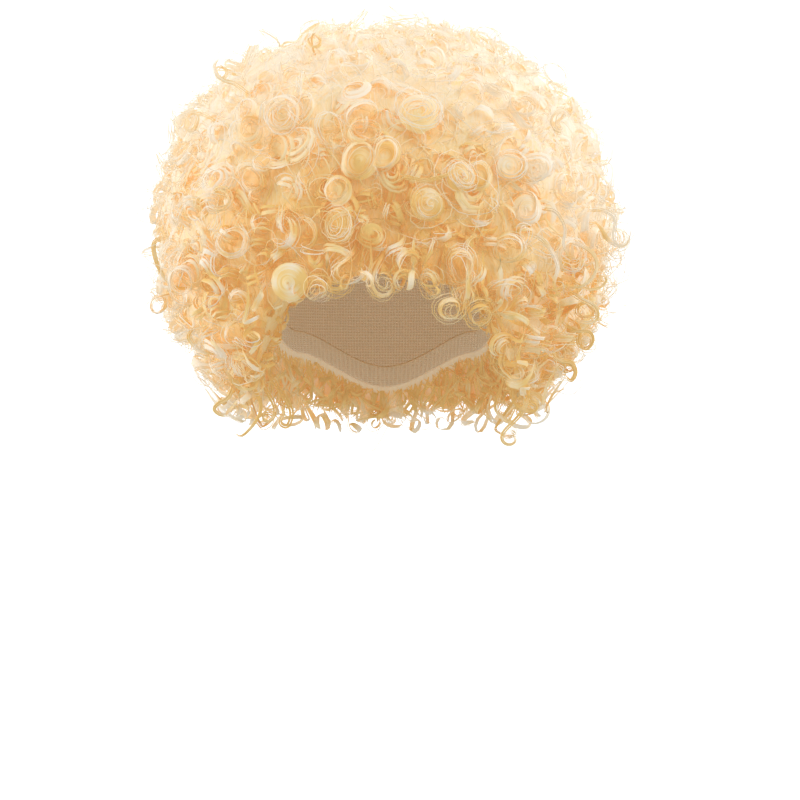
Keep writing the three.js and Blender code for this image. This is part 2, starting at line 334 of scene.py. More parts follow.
# %% [markdown]
# ## Waves between the curls
# Where no curl has wound up, the hair lies over itself in soft waves. A wave could be combed out of a hair
# system, but as a line it goes through the same steps as a curl. It snakes over the hair's outline: it
# starts in the flat plane that touches the outline, and then sinks away from that plane with the roundness
# of the hair. Its two ends dip into the hair, so that none of them shows.

# %% The lines that the waves follow
HAIR_ROUNDNESS = 150.0
WAVE_WIDTH = 3.6
WAVE_TURNS = (0.6, 1.1)
WAVE_LENGTH = (28.0, 50.0)
WAVE_SWING = (3.0, 8.0)
WAVE_LIFT = (0.0, 3.0)
FLOW_SCALE = 0.02
FLOW_DOWN = np.array([0.0, 0.0, -0.3])
FLOW_SPREAD = 0.25
END_DIP = 7.0
ROOT_DIP_OVER = 0.25
TIP_DIP_OVER = 0.2
ROLL_SPREAD = 0.25
ROLL_SWING = 0.3
ROLL_LAG = 1.0
WAVE_LANE_SPREAD = 0.5


def wave_paths(base, tip, rng, fibres, steps):
    """The middle lines of waves round tip, side by side, the way that they face, and the way along."""
    count = len(base)
    outward = unit(tip - base)[:, None, :]
    flow = np.array([noise.noise_vector(Vector(point * FLOW_SCALE)) for point in tip])
    flow = flow + FLOW_DOWN + FLOW_SPREAD * rng.normal(size=(count, 3))
    along = unit(np.cross(np.cross(outward[:, 0], flow), outward[:, 0]))[:, None, :]
    across = np.cross(outward, along)
    t = np.tile(np.linspace(0.0, 1.0, steps + 1), (count, 1))
    turn = 2.0 * np.pi * (rng.uniform(*WAVE_TURNS, (count, 1)) * t + rng.random((count, 1)))
    ahead = rng.uniform(*WAVE_LENGTH, (count, 1)) * (t - 0.5)
    aside = rng.uniform(*WAVE_SWING, (count, 1)) * np.sin(turn)
    lift = rng.uniform(*WAVE_LIFT, (count, 1)) * np.cos(turn)
    dip = smooth_step(1.0 - t / ROOT_DIP_OVER) + 0.5 * smooth_step((t - (1.0 - TIP_DIP_OVER)) / TIP_DIP_OVER)
    height = lift - (ahead**2 + aside**2) / (2.0 * HAIR_ROUNDNESS) - END_DIP * dip
    path = tip[:, None, :] + along * ahead[..., None] + across * aside[..., None]
    path = path + outward * height[..., None]
    roll = rng.normal(0.0, ROLL_SPREAD, (count, 1)) + ROLL_SWING * np.sin(turn + ROLL_LAG)
    facing = outward * np.cos(roll)[..., None] + across * np.sin(roll)[..., None]
    side = across * np.cos(roll)[..., None] - outward * np.sin(roll)[..., None]
    lane = np.linspace(-1.0, 1.0, fibres)[:, None] * WAVE_WIDTH
    lane = lane + rng.normal(0.0, WAVE_LANE_SPREAD, (count, fibres, 1))
    path = path[:, None] + side[:, None] * lane[..., None]
    rows = (count * fibres, steps + 1)
    return path.reshape(*rows, 3), np.repeat(facing, fibres, axis=0), np.repeat(t, fibres, axis=0)


# %% [markdown]
# ## Tubes along the lines
# A fibre could be a curve object with a bevel, but thousands of objects are slow. So each line becomes a
# closed tube with three corners to a ring, worked out for all the lines at once. One corner points out of
# the ribbon and the other two lie at its edges, which makes a flat ribbon with a ridge. A tube starts thin
# at its root and ends thinner still, as cut fibre does.

# %% Corner points of the tubes
CORNERS = np.radians([90.0, 210.0, 330.0])
ROOT_THICKNESS = 0.2
TIP_THINNER = 0.85
THIN_OVER = 0.3


def tubes_along(path, facing, t, half_width, half_thickness, taper=1.0):
    """Three-sided closed tubes: corner points (lines, rings, 3, 3), thin at the ends by the share taper."""
    tangent = unit(np.gradient(path, axis=1))
    across = unit(np.cross(tangent, facing))
    proud = np.cross(across, tangent)
    thin = ROOT_THICKNESS + (1.0 - ROOT_THICKNESS) * smooth_step(t / THIN_OVER)
    thin = thin * (1.0 - TIP_THINNER * smooth_step((t - (1.0 - THIN_OVER)) / THIN_OVER))
    thin = 1.0 - taper * (1.0 - thin)
    width = (half_width[:, None] * thin)[..., None] * np.cos(CORNERS)
    height = (half_thickness * thin)[..., None] * np.sin(CORNERS)
    return path[:, :, None] + across[:, :, None] * width[..., None] + proud[:, :, None] * height[..., None]


# %% [markdown]
# ## Panels
# The real hair is sewn on in panels. All of it is grown together here, because curls cross the seams, and
# is then shared out: each panel is one piece, and takes the locks whose roots lie in it.

# %% The six panels
CROWN_END = 50.6
NAPE_START = 100.0
ALL_ROUND = (0.0, 360.0)
PANELS = {
    "crown_curls": {"azimuth": ALL_ROUND, "polar": (0.0, CROWN_END)},
    "fringe_curls": {"azimuth": (-52.0, 52.0), "polar": (CROWN_END, None)},
    "left_curls": {"azimuth": (52.0, 128.0), "polar": (CROWN_END, None)},
    "right_curls": {"azimuth": (232.0, 308.0), "polar": (CROWN_END, None)},
    "back_curls": {"azimuth": (128.0, 232.0), "polar": (CROWN_END, NAPE_START)},
    "nape_curls": {"azimuth": (128.0, 232.0), "polar": (NAPE_START, None)},
}


def in_panel(panel, azimuth, share):
    """Which of the places lie in a panel."""
    start, end = panel["azimuth"]
    low, high = panel["polar"]
    polar = share * edge_angle(HAIR_END, azimuth)
    inside = (azimuth - start) % 360.0 < end - start
    return inside & (polar >= low) & (polar < (np.inf if high is None else high))


print(len(PANELS), "panels of curls")

# %% [markdown]
# ## Tones, with painted light and shade
# The tones paint light and shade into the colour. The wig is painted palest at the top and at the edges,
# where light falls on it and shines through, golden in the middle of the front and deeper low down, where
# shade falls, and a curl is painted paler than the hair in the gaps beside it, as painted shade in the gaps.
# A texture painted on the outline could give that, but fibres have no shared surface to paint. So every ring
# of every fibre gets a number from its place, its tone, and the finish turns tones into colours. Nothing
# shows the back, so it is golden by guess.

# %% The painted light and shade of a place
# Painted light and shade: the tone is painted paler away from the middle of the front, most at the top and
# the edges where light falls and shines through, paler on the right above where more light falls, and deeper
# low down where shade falls.
FRONT_MIDDLE = np.array([-10.0, -125.0, -95.0])
EDGE_PAINTED_LIGHT = 0.9
EDGE_EVEN = 0.4
PAINTED_LIGHT_FROM = 45.0
PAINTED_LIGHT_TO = 190.0
# BACK_DEEPER takes most of the painted edge light off the back again; the back's tone is a guess.
BACK_DEEPER = 0.5
BACK_FROM = 225.0
BACK_TO = 300.0
RIGHT_PAINTED_LIGHT = 0.22
RIGHT_FROM = 50.0
RIGHT_TO = 130.0
RIGHT_ABOVE = -50.0
LOW_PAINTED_SHADE = 0.5
LOW_FROM = -95.0
LOW_TO = -155.0
LOW_SLANT = 0.35


def eased(value, start, end):
    """0 where the value is at start, 1 where it is at end, and eased between."""
    return smooth_step((value - start) / (end - start))


def painted_light(points):
    """Painted light and shade by region: above zero it is paler, where light falls, and below zero deeper,
    where shade falls.
    """
    away = np.linalg.norm(points - FRONT_MIDDLE, axis=-1)
    edge = EDGE_PAINTED_LIGHT * (eased(away, PAINTED_LIGHT_FROM, PAINTED_LIGHT_TO) - EDGE_EVEN)
    edge = edge - BACK_DEEPER * eased(away, BACK_FROM, BACK_TO)
    right = RIGHT_PAINTED_LIGHT * eased(points[..., 0], RIGHT_FROM, RIGHT_TO)
    edge = edge + right * eased(points[..., 2], LOW_FROM, RIGHT_ABOVE)
    height = points[..., 2] - LOW_SLANT * points[..., 0]
    return edge - LOW_PAINTED_SHADE * eased(height, LOW_FROM, LOW_TO)


# %% Patches, and painted shade in the gaps
CALM = 0.25
CALM_ABOVE = 20.0
LIVELY_BELOW = -80.0
PATCH_SCALE = 0.09
PATCHES = 0.9
# Painted shade in the gaps: the deeper a place lies under the outline, the deeper its gold.
GAP_PAINTED_SHADE = 0.05
EVEN_DEPTH = 7.0
DEPTH_SPAN = (-7.0, 15.0)


def depth_under_outline(points):
    """How deep points lie under the hair's outline, in millimetres."""
    x, y, z = np.moveaxis(points, -1, 0)
    wide = np.abs(x / HAIR["half_width"]) ** HAIR_SQUARENESS
    deep = np.abs(y / np.where(y < 0.0, HAIR["front"], HAIR["back"])) ** HAIR_SQUARENESS
    high = np.abs((z - HAIR["centre_height"]) / HAIR["half_height"]) ** HAIR_SQUARENESS
    return HAIR["half_height"] * (1.0 - (wide + deep + high) ** (1.0 / HAIR_SQUARENESS))


def liveliness(points):
    """How much the tone varies at points: calm in the bright light on top, lively low down."""
    return CALM + (1.0 - CALM) * eased(points[..., 2], CALM_ABOVE, LIVELY_BELOW)


def tone_at(points):
    """The tone of a place: its painted light and shade by region, pale or deep patches, and painted shade
    that deepens the gold the deeper the place lies.
    """
    flat = points.reshape(-1, 3) * PATCH_SCALE
    patches = np.array([noise.noise(Vector(point)) for point in flat]).reshape(points.shape[:-1])
    patches_and_gap_shade = PATCHES * patches - GAP_PAINTED_SHADE * np.clip(depth_under_outline(points) - EVEN_DEPTH, *DEPTH_SPAN)
    return painted_light(points) + liveliness(points) * patches_and_gap_shade


print("tone at the middle of the front", np.round(tone_at(FRONT_MIDDLE[None]), 2))

# %% [markdown]
# ## Growing
# Growing a layer means drawing its curls, laying lines along them and closing a tube round each line. Real
# fibre can't run through the cap, so a line that would is moved straight out of it. The tubes are kept in
# one list until the panels take them.

# %% Grow curls
CAP_CLEARANCE = 1.5
FIBRE_TONE_SPREAD = 0.03
# Painted shade at the root of each fibre, and painted light towards its tip.
ROOT_PAINTED_SHADE = 0.1
rng = np.random.default_rng(11)
growth = []


def clear_of_cap(path):
    """The path with each point that would run into the cap or its hollow moved straight out of it."""
    middle = np.array([0.0, 0.0, CAP["centre_height"]])
    deep = np.where(path[..., 1] < 0.0, CAP["front"], CAP["back"])
    wide = np.full_like(deep, CAP["half_width"])
    high = np.full_like(deep, CAP["half_height"])
    size = np.stack([wide, deep, high], axis=-1) + CAP_WALL + CAP_CLEARANCE
    reach = np.linalg.norm((path - middle) / size, axis=-1, keepdims=True)
    return middle + (path - middle) * np.maximum(1.0 / np.maximum(reach, TINY), 1.0)


def grow(azimuth, share, lines, tone, half_width, half_thickness, taper=1.0, vary=0.3):
    """Adds a tube along each line to the growth, with painted shade at its root and painted light towards its
    tip.
    """
    path, facing, t = lines
    path = clear_of_cap(path)
    widths = half_width * rng.uniform(1.0 - vary, 1.0 + vary, len(path))
    tubes = tubes_along(path, facing, t, widths, half_thickness, taper)
    own = (tone + rng.normal(0.0, FIBRE_TONE_SPREAD, len(path)))[:, None]
    tones = own + ROOT_PAINTED_SHADE * (t - 0.5) + tone_at(path)
    growth.append(SimpleNamespace(tubes=tubes, tone=tones, widths=widths, azimuth=azimuth, share=share))


def grow_layers(azimuth, share, curls, layers):
    """The ribbons and the fibres of curls, each layer in its lanes."""
    for layer in layers:
        owner = np.repeat(np.arange(len(azimuth)), layer["count"])
        lane = np.tile(np.linspace(-1.0, 1.0, layer["count"]), len(azimuth)) * layer["spread"]
        lines = curl_paths(curls, owner, lane, rng, layer["loose"], layer["loose"])
        # The layer's paler, where it isn't zero, is a painted highlight on its fine fibres.
        tones = curls.tone[owner] + layer["paler"]
        grow(azimuth[owner], share[owner], lines, tones, layer["half_width"], layer["half_thickness"])


def grow_kinds(azimuth, share, base, tip, kinds, sink, tone, size, layers):
    """Curls of several kinds, dealt out by their shares."""
    dealt = rng.choice(len(kinds), len(azimuth), p=list(kinds.values()))
    for number, kind in enumerate(kinds):
        mine = dealt == number
        curls = make_curls(kind, base[mine], tip[mine], rng, sink, tone, size)
        grow_layers(azimuth[mine], share[mine], curls, layers)


def print_growth(layer):
    print("with", layer, sum(len(batch.widths) for batch in growth), "ribbons and fibres")


# %% [markdown]
# ## Clumps and hollows
# The outline of curly hair is lumpy. Its locks lie in clumps, some of which stand out while others lie deep,
# so a slow noise over the outline moves the curls in and out. Here and there the photo also shows a
# hollow in the outline, or a lump, and those have their own places.

# %% A lumpy depth
CLUMP_SCALE = 0.03
CLUMP_CONTRAST = 0.9
OUTLINE_EASE = 2.5
# Where the outline in the photo falls in: column and row in pixels, reach and depth in millimetres. A lump
# has a depth below zero.
HOLLOWS = [
    (270, 22, 17.0, 13.0), (556, 78, 24.0, 9.0), (600, 140, 22.0, 8.0), (612, 288, 22.0, 13.0),
    (165, 172, 16.0, 10.0), (190, 105, 14.0, 9.0), (200, 405, 24.0, 9.0), (562, 412, 26.0, 10.0),
    (497, 243, 8.0, 9.0), (430, 140, 13.0, 5.0), (302, 205, 11.0, 5.0), (395, 212, 14.0, 4.0),
    (475, 28, 16.0, -5.0), (614, 262, 14.0, 8.0), (276, 165, 12.0, -4.0), (276, 228, 12.0, -4.0),
]


def lumpy(azimuth, share, low, high):
    """A depth that lies low to high millimetres under the outline, in clumps, and deeper in the hollows."""
    points = hair_point(azimuth, share, 1.0)
    swell = np.array([noise.noise(Vector(point * CLUMP_SCALE)) for point in points])
    under = OUTLINE_EASE + high + (low - high) * np.clip(0.5 + CLUMP_CONTRAST * swell, 0.0, 1.0)
    for column, row, reach, depth in HOLLOWS:
        middle = hair_point(*hair_under_pixel(column, row)[:2], 1.0)
        under = under + depth * np.exp(-np.sum((points - middle) ** 2, axis=1) / (2.0 * reach**2))
    return 1.0 - under / np.linalg.norm(points - hair_point(azimuth, share, 0.0), axis=1)


def grow_outline(azimuth, share, root, under, kinds, sink, tone, size, layers):
    """Curls under the outline, by so many millimetres. root is their roots' depth and furthest share."""
    base = hair_point(azimuth, np.minimum(share, root[1]), root[0])
    tip = hair_point(azimuth, share, lumpy(azimuth, share, *under))
    grow_kinds(azimuth, share, base, tip, kinds, sink, tone, size, layers)


print(len(HOLLOWS), "hollows and lumps in the outline")

# %% [markdown]
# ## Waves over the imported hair
# The lowest layer that shows is hair that lies flat, so its fibres are waves and not curls.

# %% Grow the waves
WAVE_FIBRES = 2
azimuth, share = even_places(outline_at, ALL_ROUND, (0.0, 0.88), spacing=14.0, seed=1)
tip = hair_point(azimuth, share, lumpy(azimuth, share, 8.0, 14.0))
waves = wave_paths(hair_point(azimuth, share, 0.5), tip, rng, WAVE_FIBRES, steps=8)
azimuth = np.repeat(azimuth, WAVE_FIBRES)
share = np.repeat(share, WAVE_FIBRES)
grow(azimuth, share, waves, np.full(len(azimuth), 0.5), half_width=0.6, half_thickness=0.35)
print_growth("waves")

# %% [markdown]
# ## Deep curls and outer curls
# The look of the wig is in its curls. One layer would need very many to hide the gaps, so there are two: deep
# ones of wide ribbons fill the gaps, and outer ones of ribbons and fine fibres lie over them. Near the
# hair's end the roots stay behind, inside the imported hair, so that no stem hangs in the open.

# %% Grow the deep curls
RIBBONS = {"count": 2, "spread": 1.4, "loose": 0.6, "half_width": 1.4, "half_thickness": 0.3, "paler": 0.0}
ROOTS_END = 0.9
azimuth, share = off_the_fringe_edge(*even_places(outline_at, ALL_ROUND, (0.0, 1.0), spacing=15.5, seed=5))
# The deep curls' tone of 0.5, below the outer curls' 0.6, is painted shade in the gaps.
grow_outline(
    azimuth, share, root=(0.75, ROOTS_END), under=(3.0, 10.0), kinds={"disc": 0.2, "ring": 0.4, "hook": 0.4},
    sink=(-2.0, 1.0), tone=0.5, size=1.0, layers=(RIBBONS,),
)
print_growth("deep curls")

# %% Grow the outer curls
# A layer's paler adds to its tone: the fine fibres' 0.05 over their ribbons is a painted highlight.
FIBRES = {"count": 4, "spread": 3.0, "loose": 1.0, "half_width": 0.28, "half_thickness": 0.25, "paler": 0.05}
azimuth, share = off_the_fringe_edge(*even_places(outline_at, ALL_ROUND, (0.0, 1.02), spacing=15.0, seed=2))
grow_outline(
    azimuth, share, root=(0.7, ROOTS_END), under=(0.0, 9.0), kinds={"disc": 0.1, "ring": 0.35, "hook": 0.55},
    sink=(-4.0, 1.0), tone=0.6, size=1.0, layers=(RIBBONS, FIBRES),
)
print_growth("outer curls")

# %% [markdown]
# ## The underside
# Below, the hair ends in a broad underside that runs from the cap's rim to the outline. Small curls cover
# it, one ribbon and one fibre each, and strands lie over them from the rim outwards, as the last row of a
# real wig does.

# %% Grow the curls of the underside
ONE_RIBBON = dict(RIBBONS, count=1, spread=0.0, half_width=2.0)
ONE_FIBRE = dict(FIBRES, count=1, spread=0.0)
UNDERSIDE_ROOT = 0.93
UNDERSIDE_BEYOND = 1.03
UNDERSIDE_DROP = 10.0
azimuth, depth = even_places(underside_at, ALL_ROUND, (0.08, 1.0), spacing=10.5, seed=3)
level = np.ones_like(azimuth)
root = hair_point(azimuth, level * UNDERSIDE_ROOT, depth)
inward = unit(hair_point(azimuth, level * UNDERSIDE_BEYOND, depth) - root)
tip = hair_point(azimuth, level, depth) + inward * UNDERSIDE_DROP
grow_kinds(
    azimuth, level, root, tip, {"ring": 0.45, "hook": 0.55},
    sink=(-4.0, 1.0), tone=0.45, size=0.85, layers=(ONE_RIBBON, ONE_FIBRE),
)
print_growth("the underside")

# %% Grow the strands over it
STRANDS = 330
STRAND_RINGS = 13
STRAND_AZIMUTHS = (50.0, 310.0)
STRAND_DEPTHS = (0.02, 0.82)
STRAND_LENGTHS = (0.7, 1.0)
STRAND_SWING = 5.0
STRAND_WAVES = (0.8, 1.6)
STRAND_BEYOND = (0.005, 0.035)
STRAND_LIFTED_OVER = 0.3
STRAND_OUTWARD = 0.05
each = (STRANDS, 1)
azimuth = np.sort(rng.uniform(*STRAND_AZIMUTHS, STRANDS))
along = np.linspace(*STRAND_DEPTHS, STRAND_RINGS)[None, :] * rng.uniform(*STRAND_LENGTHS, each)
sway = STRAND_SWING * rng.normal(size=each)
sway = sway * np.sin(2.0 * np.pi * (rng.uniform(*STRAND_WAVES, each) * along + rng.random(each)))
beyond = 1.0 + rng.uniform(*STRAND_BEYOND, each) * smooth_step(along / STRAND_LIFTED_OVER)
path = hair_point(azimuth[:, None] + sway, beyond, along)
facing = unit(hair_point(azimuth[:, None] + sway, beyond + STRAND_OUTWARD, along) - path)
lines = path, facing, np.broadcast_to(np.linspace(0.0, 1.0, STRAND_RINGS), along.shape)
grow(azimuth, np.ones(STRANDS), lines, np.full(STRANDS, 0.45), half_width=1.3, half_thickness=0.5)
print_growth("strands")

# %% [markdown]
# ## Wisps and lobes
# The hair's end isn't trimmed level. Wisps of a few fibres hang from it, longest in the two lobes at the
# sides of the opening in front, and full curls fill those lobes. They could be placed by hand, but there
# are a hundred of them, so the drop of a wisp is worked out from how far it is from a lobe.

# %% Grow the hanging wisps
WISP = {"count": 3, "spread": 1.2, "loose": 0.7, "half_width": 0.28, "half_thickness": 0.25, "paler": 0.05}
WISP_ROOT = 0.94
WISP_SPREAD = 4.0
WISP_DROP = 6.0
WISP_VARIES = (0.6, 1.3)
LOBE_DROP = 20.0
LOBE_AZIMUTH = 58.0
LOBE_WIDTH = 22.0
azimuth, depth = even_places(underside_at, (40.0, 320.0), (0.1, 0.7), spacing=11.0, seed=6)
level = np.ones_like(azimuth)
root = hair_point(azimuth, level * WISP_ROOT, depth)
lobe = np.exp(-(((angle_from_front(azimuth) - LOBE_AZIMUTH) / LOBE_WIDTH) ** 2))
drop = (WISP_DROP + LOBE_DROP * lobe) * rng.uniform(*WISP_VARIES, len(azimuth))
aside = rng.normal(0.0, WISP_SPREAD, len(azimuth))
ahead = rng.normal(0.0, WISP_SPREAD, len(azimuth))
tip = root + np.stack([aside, ahead, -drop], axis=1)
grow_kinds(
    azimuth, level, root, tip, {"ring": 0.4, "hook": 0.6},
    sink=(-3.0, 3.0), tone=0.5, size=1.05, layers=(dict(WISP, count=5, spread=1.8, half_width=0.42),),
)
print_growth("hanging wisps")

# %% Fill the lobes
LOBE_ROOT = 0.9
LOBE_FALL = np.array([0.0, 0.0, -12.0])
azimuth, depth = even_places(underside_at, (42.0, 100.0), (0.1, 0.7), spacing=13.0, seed=9)
azimuth = azimuth * rng.choice([-1.0, 1.0], len(azimuth)) % 360.0
level = np.ones_like(azimuth)
root = hair_point(azimuth, level * LOBE_ROOT, depth)
tip = hair_point(azimuth, level, depth) + LOBE_FALL
grow_kinds(
    azimuth, level, root, tip, {"ring": 0.45, "hook": 0.55},
    sink=(-3.0, 3.0), tone=0.5, size=0.95, layers=(RIBBONS, FIBRES),
)
print_growth("lobes")

# %% [markdown]
# ## Loose fibres
# No wig is tidy. Wisps and single fibres stand out of the curls all over, and blur the outline. A noisy
# outline on the curls would only make them rough, so the loose fibres are curls of their own, thin ones.

# %% Grow wisps and single fibres
LOOSE_KINDS = {"ring": 0.4, "hook": 0.6}
azimuth, share = even_places(outline_at, ALL_ROUND, (0.0, 1.0), spacing=21.0, seed=7)
grow_outline(
    azimuth, share, root=(0.8, 1.0), under=(-6.0, 3.0), kinds=LOOSE_KINDS,
    sink=(-4.0, 2.0), tone=0.65, size=1.1, layers=(WISP,),
)
azimuth, share = even_places(outline_at, ALL_ROUND, (0.0, 1.0), spacing=9.5, seed=4)
grow_outline(
    azimuth, share, root=(0.85, 1.0), under=(-4.0, 4.0), kinds=LOOSE_KINDS,
    sink=(-5.0, 5.0), tone=0.65, size=1.3, layers=(dict(ONE_FIBRE, loose=2.5, half_width=0.2),),
)
print_growth("loose fibres")

# %% [markdown]
# ## Locks along the outline
# Some locks in the photo curve out into the open, and their bends are easy to follow. Each is drawn as a few
# points of its line, in pixels, and becomes a bundle of fibres at the depth of the hair where it starts. A
# stem joins it to a root in the hair. Locks at the hem have their root back in a lobe, because there is no
# hair behind them to hold them.

# %% The lines of the locks
# Columns and rows, in pixels, from the root to the tip.
LOCKS = [
    ((246, 376), (256, 392), (263, 407), (257, 420), (248, 431), (240, 438), (236, 434)),
    ((231, 398), (219, 402), (212, 409), (220, 416), (230, 416)),
    ((266, 392), (276, 406), (274, 420), (264, 423), (262, 413), (270, 408)),
    ((284, 396), (293, 412), (288, 428), (279, 424), (284, 414)),
    ((508, 398), (524, 413), (538, 411), (536, 402), (526, 404)),
    ((530, 400), (520, 418), (503, 430), (500, 441), (510, 447), (518, 440), (512, 434)),
    ((492, 405), (500, 416), (508, 424), (512, 414), (520, 400)),
    ((580, 244), (594, 252), (599, 266), (592, 281), (578, 289), (564, 286)),
    ((588, 290), (600, 288), (607, 281), (604, 276)),
    ((582, 300), (596, 306), (599, 318), (588, 324), (576, 320)),
    ((574, 332), (590, 330), (595, 340), (587, 352), (578, 346)),
    ((560, 362), (572, 361), (577, 373), (571, 383), (564, 374)),
    ((606, 210), (618, 218), (612, 236), (617, 248), (628, 245), (631, 230)),
    ((234, 82), (224, 81), (216, 74), (214, 65), (219, 58)),
    ((152, 240), (156, 262), (166, 281), (181, 290), (197, 284)),
    ((186, 336), (198, 350), (212, 354), (222, 348)),
    ((460, 292), (478, 284), (496, 276), (506, 287), (497, 303)),
    ((540, 236), (552, 250), (560, 268), (552, 284), (562, 300)),
    ((556, 210), (566, 228), (562, 246), (572, 262)),
    ((404, 176), (424, 181), (444, 176), (458, 168)),
]
LOCK_STEPS = 22
STEM_STEPS = 6
LOCK_PROUD = 2.0
ROOT_DEPTH = 0.85
HEM_SHARE = 0.97
HEM_ROOT_DEPTH = 0.6
SMOOTHINGS = 6


def lock_line(lock):
    """The azimuth and the share of a lock's root, and its line from there to its tip."""
    knots = np.array(lock, dtype=float)
    t = np.linspace(0.0, 1.0, LOCK_STEPS + 1)
    pixels = [np.interp(t * (len(knots) - 1), np.arange(len(knots)), side) for side in knots.T]
    azimuth, share, depth = hair_under_pixel(*knots[0])
    root_depth = ROOT_DEPTH
    if share > HEM_SHARE:
        azimuth = np.sign(azimuth) * np.maximum(np.abs(azimuth), LOBE_AZIMUTH)
        share = HEM_SHARE
        root_depth = HEM_ROOT_DEPTH
    y = hair_point(azimuth, share, depth)[1] - LOCK_PROUD
    x, z = seen_at(pixel_place(*pixels), y)
    path = np.stack([x, np.full_like(x, y), z], axis=1)
    root = hair_point(azimuth, share, root_depth)
    stem = np.linspace(0.0, 1.0, STEM_STEPS, endpoint=False)[:, None]
    path = np.concatenate([root + (path[0] - root) * stem, path])
    for _ in range(SMOOTHINGS):
        path[1:-1] = (path[:-2] + 2.0 * path[1:-1] + path[2:]) / 4.0
    return azimuth, share, path


# %% Grow the locks
TO_CAMERA = np.array([0.0, -1.0, 0.0])
LOCK_FIBRES = 6
LOCK_WIDTH = 2.4
LOCK_NARROWER = 0.7
LOCK_SPREAD = 0.3
LOCK_DEPTH_SPREAD = 0.8

for lock in LOCKS:
    azimuth, share, line = lock_line(lock)
    t = np.linspace(0.0, 1.0, len(line))
    across = unit(np.cross(np.gradient(line, axis=0), TO_CAMERA))
    lane = np.linspace(-0.5, 0.5, LOCK_FIBRES) * LOCK_WIDTH
    side = lane[:, None] * (1.0 - LOCK_NARROWER * t)[None, :] + rng.normal(0.0, LOCK_SPREAD, (LOCK_FIBRES, 1))
    paths = line[None] + across[None] * side[..., None]
    paths[..., 1] += rng.normal(0.0, LOCK_DEPTH_SPREAD, (LOCK_FIBRES, 1))
    lines = paths, np.broadcast_to(TO_CAMERA, paths.shape), np.broadcast_to(t, paths.shape[:2])
    each = np.ones(LOCK_FIBRES)
    grow(each * azimuth, each * share, lines, each * 0.0, half_width=0.4, half_thickness=0.35)
print_growth("locks")

# %% [markdown]
# ## The curls that stand out
# The photo shows some curls clearly. Each faces the camera, at its own pixel and size. The fullest of them
# are wound so tightly that they look like discs. One spiral ribbon would leave a hole, so three ribbons lie
# round the middle of such a disc, one inside the other, and the middle is raised a little.

# %% Discs
OUTWARD_LEAN = 0.7
PLATE_DOME = 4.0
PLATE_DRIFT = 0.6
PLATE_OVAL = 0.3
PLATE_WANDER = 0.1
PLATE_HALF_THICKNESS = 0.3
# The place of each ribbon of a disc and its half width, as shares of the radius.
PLATE_RIBBONS = ((0.21, 0.22), (0.5, 0.24), (0.8, 0.24))
# Column, row and radius, in pixels.
FRINGE_DISC = [(289, 282, 18)]
PROUD_DISCS = [(428, 202, 15), (463, 174, 14)]
SUNK_DISCS = [(420, 108, 20), (336, 224, 15), (537, 166, 12), (281, 111, 16)]
FILLED_RINGS = [
    (359, 158, 17), (385, 151, 14), (337, 187, 13), (370, 234, 11), (481, 171, 14), (513, 163, 14),
    (537, 166, 14), (532, 207, 14),
]


def at_marks(marks):
    """The azimuth, share and radius in millimetres of marks, their points, and the way that they face."""
    column, row, radius = np.array(marks, dtype=float).T
    azimuth, share, depth = hair_under_pixel(column, row)
    point = hair_point(azimuth, share, depth)
    facing = unit(TO_CAMERA + OUTWARD_LEAN * unit(point - hair_point(azimuth, share, 0.0)))
    return azimuth, share, radius * MM_PER_PIXEL, point, facing


def grow_plates(marks, tone, sink):
    """Domed discs at their pixels, sunk that deep."""
    azimuth, share, radius, point, facing = at_marks(marks)
    point = point - sink * facing
    plates = make_curls("plate", point, point, rng, (0.0, 0.0), tone, toward=facing)
    centre = plates.centre
    plates.drift = np.full(len(marks), PLATE_DRIFT)
    plates.oval = plates.oval * PLATE_OVAL
    for ring, half_width in PLATE_RIBBONS:
        plates.centre = centre + facing * PLATE_DOME * (1.0 - ring)
        plates.base = plates.centre
        plates.radius = radius * ring
        lines = curl_paths(plates, np.arange(len(marks)), np.zeros(len(marks)), rng, 0.0, PLATE_WANDER)
        width = radius * half_width
        grow(azimuth, share, lines, plates.tone, width, PLATE_HALF_THICKNESS, taper=0.0, vary=0.0)


grow_plates(FRINGE_DISC, tone=0.45, sink=-2.0)
grow_plates(PROUD_DISCS, tone=0.3, sink=2.0)
grow_plates(SUNK_DISCS, tone=0.3, sink=5.0)
grow_plates(FILLED_RINGS, tone=0.4, sink=5.0)
print_growth("discs")

# %% [markdown]
# Loose fibres wind round the discs, and rings lie round the filled ones and by themselves. The fringe ends in
# small frizzy rings that let light through, and single loops stand on the outline.

# %% Rings, frizz and loops
FRIZZ = {"count": 9, "spread": 4.5, "loose": 1.8, "half_width": 0.28, "half_thickness": 0.25, "paler": 0.05}
DISC_FRIZZ = dict(FRIZZ, count=6, spread=3.5, loose=1.2)
LOOP_FIBRES = dict(WISP, count=6, spread=1.0, half_width=0.45, paler=0.0)
CLEAR_ROOT = 0.93
CLEAR_ROOT_DEPTH = 0.6
CLEAR_SINK = (-2.0, 1.0)
FINE_STEPS = 25
PLAIN_STEPS = 18
# Column, row and radius, in pixels.
OPEN_RINGS = [
    (511, 249, 14), (574, 255, 15), (526, 103, 12), (248, 176, 14), (216, 200, 12), (230, 240, 16),
    (237, 308, 13), (178, 281, 14), (519, 290, 14), (360, 111, 16), (281, 111, 18), (283, 230, 17),
    (248, 123, 16), (506, 350, 12), (514, 370, 12),
]
FRINGE_RINGS = [
    (462, 267, 14), (452, 307, 13), (410, 264, 12), (383, 283, 12), (480, 314, 12), (495, 305, 11),
    (432, 286, 11), (350, 272, 11), (332, 280, 11), (404, 281, 10), (466, 296, 11), (318, 288, 10),
]
OUTLINE_LOOPS = [
    (312, 36, 8), (219, 68, 9), (191, 118, 10), (156, 305, 9), (248, 368, 11), (617, 234, 12),
    (587, 341, 9), (590, 310, 10), (571, 372, 7), (528, 411, 10), (509, 436, 9), (562, 119, 9),
    (222, 409, 9), (262, 425, 10),
]


